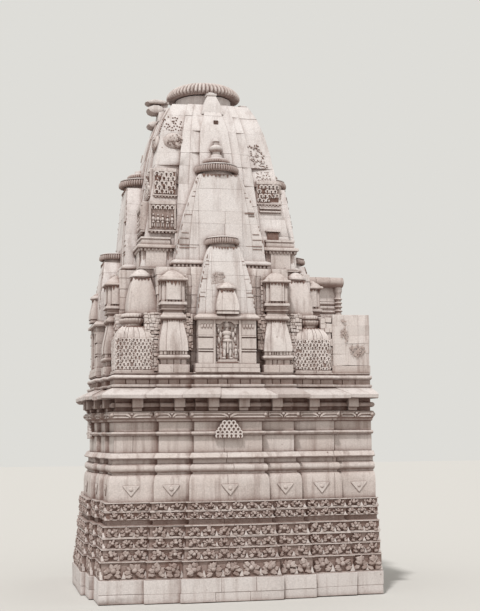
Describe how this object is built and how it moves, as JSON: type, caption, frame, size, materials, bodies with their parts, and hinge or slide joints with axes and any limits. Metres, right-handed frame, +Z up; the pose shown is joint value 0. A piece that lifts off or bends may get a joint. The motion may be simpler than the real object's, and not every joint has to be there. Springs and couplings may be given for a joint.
{
  "type": "small stone Hindu temple with a clustered tower (shrine and short porch)",
  "caption": "Hollow stone shrine on a carved plinth, with sloping eaves and a tower of leaning half spires and spirelets under a ribbed crown disc.",
  "frame": {"origin": "on the tower's vertical axis, at ground level under the plinth", "axes": "+Z up, +X towards the porch and doorway, -Y out of the long side seen in the picture"},
  "size_m": [5.825, 5.44, 10.7],
  "materials": {
    "pale_stone": "weathered, fine jointed plain blocks",
    "carved_stone": "weathered, carved, stained in the hollows",
    "rough_stone": "rough masonry, streaked by rain"
  },
  "bodies": {
    "root": {"back_eave": "pale_stone", "back_large_half_spire": "pale_stone", "back_middle_half_spire": "pale_stone", "back_niche": "carved_stone", "back_side_stack_left": "carved_stone", "back_side_stack_right": "carved_stone", "back_wall": "carved_stone", "ceiling_slab": "pale_stone", "corner_stack_back_entrance": "carved_stone", "corner_stack_back_left": "carved_stone", "corner_stack_front_entrance": "carved_stone", "corner_stack_front_left": "carved_stone", "crown_neck": "pale_stone", "door_lintel": "carved_stone", "door_wall_back": "carved_stone", "door_wall_front": "carved_stone", "entrance_eave": "pale_stone", "entrance_large_half_spire": "pale_stone", "entrance_middle_half_spire": "pale_stone", "entrance_side_stack_left": "carved_stone", "entrance_side_stack_right": "carved_stone", "front_eave": "pale_stone", "front_large_half_spire": "pale_stone", "front_middle_half_spire": "pale_stone", "front_niche": "carved_stone", "front_side_stack_left": "carved_stone", "front_side_stack_right": "carved_stone", "front_wall": "carved_stone", "gable_stub": "carved_stone", "great_crown_disc": "carved_stone", "left_eave": "pale_stone", "left_large_half_spire": "pale_stone", "left_middle_half_spire": "pale_stone", "left_niche": "carved_stone", "left_side_stack_left": "carved_stone", "left_side_stack_right": "carved_stone", "left_wall": "carved_stone", "main_spire": "pale_stone", "plinth_carved_courses": "carved_stone", "plinth_foot": "pale_stone", "porch_back_wall": "carved_stone", "porch_beam": "carved_stone", "porch_front_wall": "carved_stone", "porch_masonry_block": "rough_stone", "sanctum_floor": "pale_stone", "tower_base_mouldings": "carved_stone", "tower_core": "rough_stone"}
  },
  "joints": []
}
